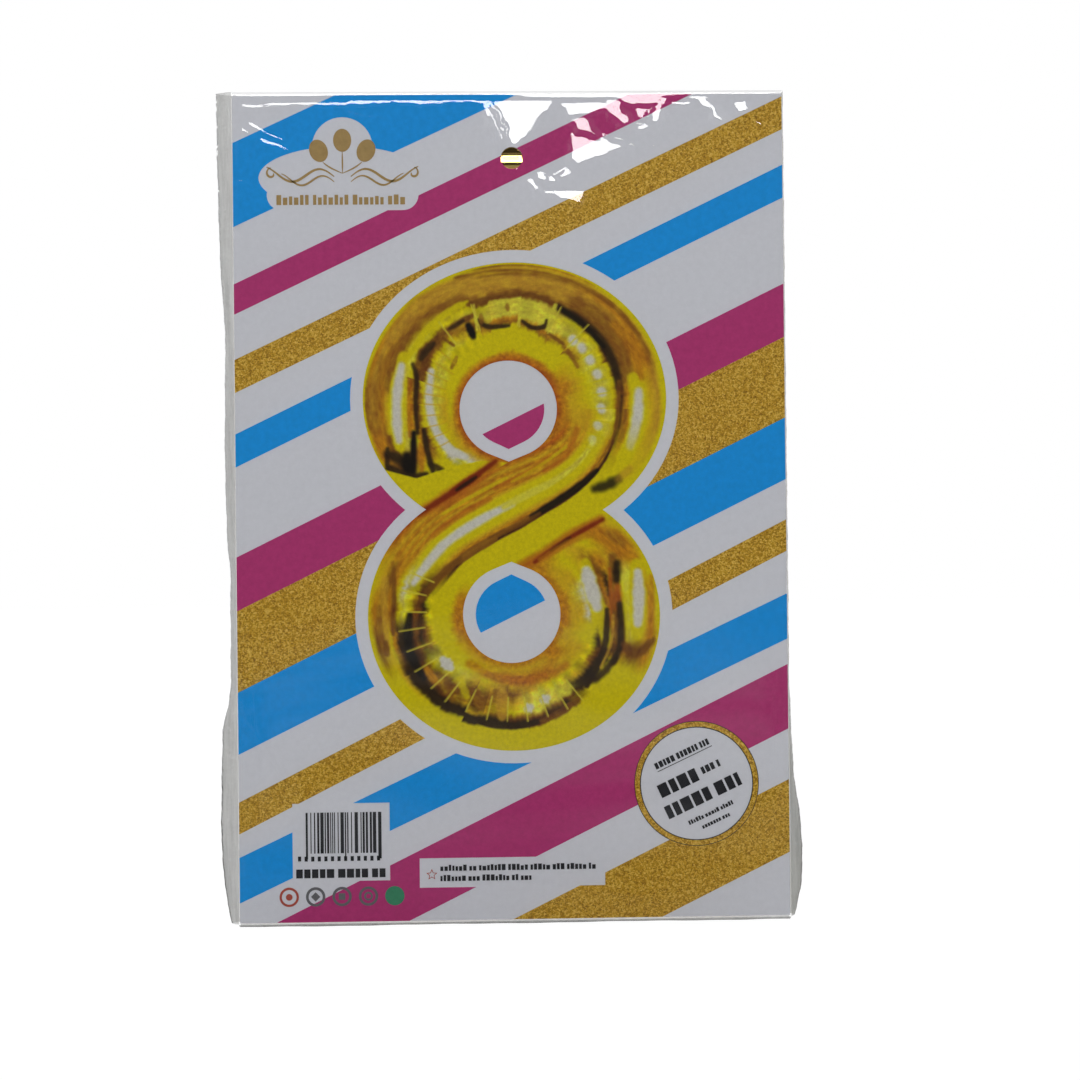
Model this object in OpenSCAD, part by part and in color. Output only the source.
// Retail pack of a foil number balloon: a clear film bag with a folded flap, a printed card with a
// hang hole, the foil balloon folded flat behind the card, and its inflation straw.
// Frame: origin at the centre of the hang hole on the card's front face, +Z up the card,
// -Y out of the printed face, +X to the right as the print is read. Millimetres.

/* [Card] */
// Width of the card
card_w = 200; // [180:1:240]
// Height of the card
card_h = 300; // [290:1:340]
// Thickness of the card
card_t = 0.45; // [0.3:0.05:0.6]
// Diameter of the punched hang hole
hole_d = 8; // [6:0.5:10]
// Hole centre below the card's top edge
hole_drop = 23.1; // [18:0.1:30]
// Hole centre to the right of the card's middle
hole_right = 1.2; // [-2:0.1:2]

/* [Bag] */
// Wall of the film, drawn thicker than the real 0.04 mm
film_t = 0.2; // [0.15:0.05:0.3]
// Width of the bag over its welds
bag_w = 210; // [208:1:212]
// Play between the front film and the card
front_play = 0.35; // [0.25:0.05:0.5]
// Depth inside, from the card's front face to the back film
depth = 5.1; // [5:0.1:8]
// Play under the card
foot_play = 0.5; // [0.3:0.1:1]
// Height of the folded bottom edge
fold_h = 1.6; // [1:0.1:3]
// Play over the card, up to the flap's fold
head_play = 1.3; // [0.8:0.1:3]
// Length of the flap's back leaf
flap_l = 38; // [30:1:45]
// Width of the adhesive strip
glue_w = 8; // [5:1:12]

/* [Folded balloon] */
// Width of the folded packet
packet_w = 182; // [160:1:182]
// Height of the folded packet
packet_h = 285; // [270:1:286]
// Top of the packet above the hang hole
packet_top = 11; // [8:1:14]
// Wall of the foil, drawn thicker than the real 0.03 mm
foil_t = 0.2; // [0.15:0.05:0.25]
// Distance from one folded layer to the next
pitch = 0.55; // [0.5:0.05:0.6]
// Width of the heat seal at the webs' ends
seal_w = 6; // [4:1:10]
// Width of the filling tail
tail_w = 26; // [20:1:40]
// Length of the filling tail
tail_l = 72; // [50:1:100]
// Width of the valve films
valve_w = 15; // [10:1:18]
// Length of the valve films
valve_l = 58; // [40:1:60]

/* [Straw] */
// Outer diameter of the straw
straw_d = 4; // [3:0.1:4]
// Wall of the straw
straw_wall = 0.3; // [0.2:0.05:0.5]
// Length of the straw
straw_l = 190; // [150:1:240]

/* [Print] */
// Thickness given to each printed layer
ink_t = 0.08; // [0.05:0.01:0.1]
// White border round the printed figure
border = 4.6; // [3:0.1:6]

/* [Hidden] */
$fn = 96;

// Card, seen from the front
mid_x = -hole_right;
card_top = hole_drop;
card_foot = card_top - card_h;

// Bag walls: front film, back film, and the welds halfway between them
front_y = -front_play - film_t;
back_y = depth;
weld_y = (front_y + depth + film_t) / 2;
pane_w = bag_w - 7;
bag_foot = card_foot - foot_play;
bag_top = card_top + head_play;
lip_drop = 3;
leaf_y = depth + film_t + 0.3;

// Folded balloon, layer 0 next to the card
packet_y = card_t + 0.3;
packet_x = mid_x - 2;
packet_foot = packet_top - packet_h;
packet_gap = pitch - foil_t;
crease = 2 * pitch;
valve_t = 0.1;

// Straw beside the packet
straw_x = packet_x + packet_w / 2 + straw_d / 2 + 2;
straw_y = card_t + 0.3 + straw_d / 2;
straw_foot = -245;

// Stripes: [top, bottom, rise]. Top and bottom are millimetres below the card's top edge on its
// middle line, and rise is how far the stripe climbs for each millimetre to the right.
BLUE = [[-29, 1.5, 0.462], [74.5, 86.5, 0.484], [167.5, 190, 0.49], [229.5, 246, 0.468]];
MAGENTA = [[21, 32, 0.475], [118.5, 138, 0.49], [257.5, 281, 0.49]];
GOLD = [[48.5, 60.5, 0.474], [138, 167.5, 0.49], [206, 217.5, 0.503], [299.5, 326, 0.49]];

// Printed figure: centres are [right of the middle, below the top edge]
UPPER = [1.4, 110.8];
UPPER_R = [55.2, 49.6];
LOWER = [0.4, 190];
LOWER_R = [53.1, 48.8];
UPPER_EYE = [-1, 114.6];
LOWER_EYE = [-0.5, 189.2];
eye_r = 17.7;
eye_reach = 19.1;

// Other printed items
BADGE = [66.2, 251.6];
badge_r = 22.7;
badge_tilt = 25;
BARCODE = [-80.8, 257];
BARCODE_SIZE = [35.2, 28.2];
NOTICE = [-34.9, 277.4];
NOTICE_SIZE = [67.4, 10.7];
EMBLEM = [-60.3, 30];
EMBLEM_R = [30.4, 11.5];
emblem_crest = 11;
SYMBOLS = [-82.2, 290.8];
symbol_r = 3.5;
symbol_step = 9.55;

// ---- Shapes on the card's face: x to the right of its middle, y down from its top edge ----

// A closed outline with the half axes r
function oval(r, n = 96) = [for (i = [0 : n - 1]) [r.x * cos(i * 360 / n), r.y * sin(i * 360 / n)]];

module oval_at(c, r, grow = 0) {
    translate([c.x, -c.y]) polygon(oval([r.x + grow, r.y + grow]));
}

module box_at(corner, size) {
    translate([corner.x, -corner.y - size.y]) square(size);
}

// A round opening with a point that reaches up (way 1) or down (way -1)
module eye(c, r, reach, way) {
    lean = acos(r / reach);
    half = r * sin(lean);
    foot = way * r * cos(lean);
    translate([c.x, -c.y]) {
        circle(r);
        polygon([[0, way * reach], [-half, foot], [half, foot]]);
    }
}

// Both openings of the figure, smaller by shrink
module eyes(shrink = 0) {
    eye(UPPER_EYE, eye_r - shrink, eye_reach - shrink, -1);
    eye(LOWER_EYE, eye_r - shrink, eye_reach - shrink, 1);
}

// The figure 8, grown outwards and into its openings
module figure(grow = 0) {
    difference() {
        union() {
            oval_at(UPPER, UPPER_R, grow);
            oval_at(LOWER, LOWER_R, grow);
        }
        eyes(grow);
    }
}

// What the stripes leave free
module reserved() {
    figure(border);
    translate([BADGE.x, -BADGE.y]) circle(badge_r);
    box_at(BARCODE, BARCODE_SIZE);
    box_at(NOTICE, NOTICE_SIZE);
    oval_at(EMBLEM, EMBLEM_R);
    translate([EMBLEM.x, emblem_crest - EMBLEM.y]) circle(emblem_crest);
    bar(EMBLEM.x, -EMBLEM.y - 6.2, 55, 11.4);
}

// A row of plain rings that ends in a dot
module symbols() {
    for (i = [0 : 4]) translate([SYMBOLS.x + i * symbol_step, -SYMBOLS.y]) difference() {
        circle(symbol_r);
        if (i < 4) circle(symbol_r - 0.7);
    }
}

module hang_hole_2d() {
    translate([hole_right, -hole_drop]) circle(d = hole_d);
}

module stripe(span) {
    half = card_w / 2;
    climb = span[2] * half;
    polygon([
        [-half, -span[0] - climb], [half, -span[0] + climb],
        [half, -span[1] + climb], [-half, -span[1] - climb]
    ]);
}

module stripes(spans) {
    difference() {
        intersection() {
            translate([-card_w / 2, -card_h]) square([card_w, card_h]);
            union() for (span = spans) stripe(span);
        }
        reserved();
        symbols();
        hang_hole_2d();
    }
}

// Puts a printed shape on the card's front face
module on_card() {
    translate([mid_x, 0, card_top]) rotate([90, 0, 0]) linear_extrude(ink_t) children();
}

// A rounded bar that stands for a line of print
module bar(x, y, length, height) {
    translate([x, y]) {
        square([length - height, height], center = true);
        for (side = [-1, 1]) translate([side * (length - height) / 2, 0]) circle(d = height);
    }
}

// ---- Card and print ----

module insert_card() {
    color("whitesmoke") difference() {
        translate([mid_x - card_w / 2, 0, card_foot]) cube([card_w, card_t, card_h]);
        rotate([90, 0, 0]) cylinder(d = hole_d, h = 4 * card_t, center = true);
    }
}

module print_blue_stripes() {
    color("deepskyblue") on_card() stripes(BLUE);
}

module print_magenta_stripes() {
    color("mediumvioletred") on_card() stripes(MAGENTA);
}

module print_gold_stripes() {
    color("goldenrod") on_card() stripes(GOLD);
}

module print_gold_figure() {
    color("gold") on_card() figure();
}

module print_badge_rim() {
    color("darkgoldenrod") on_card() translate([BADGE.x, -BADGE.y]) difference() {
        circle(badge_r);
        circle(badge_r - 2);
    }
}

module print_badge_lines() {
    // [offset along the line, height above the middle, length, thickness]
    lines = [
        [-0.5, 11.8, 21, 2.2], [-6.5, 3.2, 15, 4.6], [7.4, 3.6, 7.2, 3],
        [0.2, -5, 30, 4.6], [0.3, -11.6, 18, 1.8], [0.4, -15.2, 11, 1.8]
    ];
    color("black") on_card() translate([BADGE.x, -BADGE.y]) rotate(badge_tilt) {
        for (l = lines) bar(l[0], l[1], l[2], l[3]);
    }
}

module print_barcode() {
    bars = 26;
    step = 28.6 / bars;
    color("black") on_card() {
        for (i = [0 : bars - 1]) {
            // thickness and length follow a short repeating rule, so the code says nothing
            wide = 0.35 + 0.2 * ((i * 5) % 3);
            tall = i % 12 == 0 || i == bars - 1 ? 17.5 : 15.4;
            box_at([BARCODE.x + 3.6 + i * step, BARCODE.y + 2.4], [wide, tall]);
        }
        bar(BARCODE.x + 17.5, -BARCODE.y - 24.6, 32, 2.4);
    }
}

module print_notice_lines() {
    color("black") on_card() {
        bar(NOTICE.x + 36.2, -NOTICE.y - 3.6, 57.4, 1.8);
        bar(NOTICE.x + 24.2, -NOTICE.y - 7.3, 33.5, 1.8);
    }
}

module print_emblem() {
    color("darkgoldenrod") on_card() {
        for (i = [-1 : 1]) {
            oval_at([EMBLEM.x + i * 9, EMBLEM.y - 10 + 7 * abs(i)], [3.6, 4.6]);
        }
        bar(EMBLEM.x, -EMBLEM.y - 4, 44, 2.6);
        bar(EMBLEM.x, -EMBLEM.y - 8, 26, 1.4);
    }
}

module print_symbols() {
    color("seagreen") on_card() symbols();
}

// ---- Bag ----

module pane(y, foot, top) {
    translate([mid_x - pane_w / 2, y, foot]) cube([pane_w, film_t, top - foot]);
}

module bag_front_film() {
    color("lightcyan", 0.25) difference() {
        pane(front_y, bag_foot, bag_top);
        rotate([90, 0, 0]) cylinder(d = hole_d, h = 4, center = true);
    }
}

module bag_back_film() {
    color("lightcyan", 0.25) pane(back_y, bag_foot, bag_top - lip_drop);
}

// Film that runs from both panes to the weld, drawn in plan for the right side
module weld_plan() {
    edge = pane_w / 2;
    tip = bag_w / 2;
    polygon([
        [edge, front_y], [tip, weld_y - film_t], [tip, weld_y + film_t], [edge, back_y + film_t],
        [edge, back_y], [tip - 1.5, weld_y], [edge, front_y + film_t]
    ]);
}

module side_weld(side) {
    color("powderblue", 0.4) translate([mid_x, 0, bag_foot]) linear_extrude(bag_top - lip_drop - bag_foot) {
        mirror([side < 0 ? 1 : 0, 0]) weld_plan();
    }
}

module side_weld_left() {
    side_weld(-1);
}

module side_weld_right() {
    side_weld(1);
}

module bottom_fold() {
    half_in = film_t / 2;
    color("powderblue", 0.4) translate([mid_x - pane_w / 2, 0, 0]) rotate([90, 0, 90]) {
        linear_extrude(pane_w) polygon([
            [front_y, bag_foot], [weld_y - half_in, bag_foot - fold_h], [weld_y + half_in, bag_foot - fold_h],
            [back_y + film_t, bag_foot], [back_y, bag_foot], [weld_y, bag_foot - fold_h + 3 * half_in],
            [front_y + film_t, bag_foot]
        ]);
    }
}

// ---- Flap: the front film runs on over the mouth and down behind the back film ----

module bag_flap() {
    color("lightcyan", 0.3) pane(leaf_y, bag_top - flap_l, bag_top);
}

module flap_fold() {
    color("lightcyan", 0.3) translate([mid_x - pane_w / 2, front_y, bag_top]) {
        cube([pane_w, leaf_y + film_t - front_y, film_t]);
    }
}

module flap_adhesive() {
    strip_t = 0.15;
    color("khaki", 0.6) translate([mid_x - pane_w / 2 + 1, leaf_y - strip_t, bag_top - flap_l + 4]) {
        cube([pane_w - 2, strip_t, glue_w]);
    }
}

// ---- Folded balloon, drawn edge on: x away from the card, y up ----

module layer(level, foot, top) {
    translate([level * pitch, foot]) square([foil_t, top - foot]);
}

// Half ring that joins two layers, below them (way -1) or above them (way 1)
module turn(low, high, height, way) {
    outer = (high - low) * pitch / 2 + foil_t / 2;
    translate([(low + high) * pitch / 2 + foil_t / 2, height]) intersection() {
        difference() {
            circle(outer);
            circle(outer - foil_t);
        }
        translate([-outer, way > 0 ? 0 : -outer]) square([2 * outer, outer]);
    }
}

// Draws an edge-on outline as a web of the given width
module web(width) {
    translate([packet_x - width / 2, packet_y, 0]) rotate([90, 0, 90]) linear_extrude(width) children();
}

module foil_front_web() {
    color("gold") {
        web(packet_w) {
            layer(0, packet_foot + crease, packet_top);
            turn(0, 3, packet_foot + crease, -1);
            layer(3, packet_foot + crease, packet_top - crease);
            turn(3, 4, packet_top - crease, 1);
            layer(4, packet_foot + 2 * crease, packet_top - crease);
        }
        web(tail_w) {
            turn(4, 7, packet_foot + 2 * crease, -1);
            layer(7, packet_foot + 2 * crease, packet_foot + tail_l);
        }
    }
}

module foil_back_web() {
    color("darkgoldenrod") {
        web(packet_w) {
            layer(1, packet_foot + crease, packet_top);
            turn(1, 2, packet_foot + crease, -1);
            layer(2, packet_foot + crease, packet_top - crease);
            turn(2, 5, packet_top - crease, 1);
            layer(5, packet_foot + 2 * crease, packet_top - crease);
            // the welded rim at the two free ends
            translate([foil_t, packet_top - seal_w]) square([packet_gap, seal_w]);
            translate([4 * pitch + foil_t, packet_foot + 2 * crease]) square([packet_gap, seal_w]);
        }
        web(tail_w) {
            turn(5, 6, packet_foot + 2 * crease, -1);
            layer(6, packet_foot + 2 * crease, packet_foot + tail_l);
        }
    }
}

module valve_film(offset) {
    foot = packet_foot + tail_l - 4 - valve_l;
    color("white", 0.5) translate([packet_x - valve_w / 2, packet_y + offset, foot]) {
        cube([valve_w, valve_t, valve_l]);
    }
}

module valve_film_inner() {
    valve_film(6 * pitch + foil_t);
}

module valve_film_outer() {
    valve_film(7 * pitch - valve_t);
}

// ---- Straw ----

module inflation_straw() {
    color("white") translate([straw_x, straw_y, straw_foot]) difference() {
        cylinder(d = straw_d, h = straw_l);
        translate([0, 0, -1]) cylinder(d = straw_d - 2 * straw_wall, h = straw_l + 2);
    }
}

bag_front_film();
bag_back_film();
side_weld_left();
side_weld_right();
bottom_fold();
bag_flap();
flap_fold();
flap_adhesive();
insert_card();
print_blue_stripes();
print_magenta_stripes();
print_gold_stripes();
print_gold_figure();
print_badge_rim();
print_badge_lines();
print_barcode();
print_notice_lines();
print_emblem();
print_symbols();
foil_front_web();
foil_back_web();
valve_film_inner();
valve_film_outer();
inflation_straw();
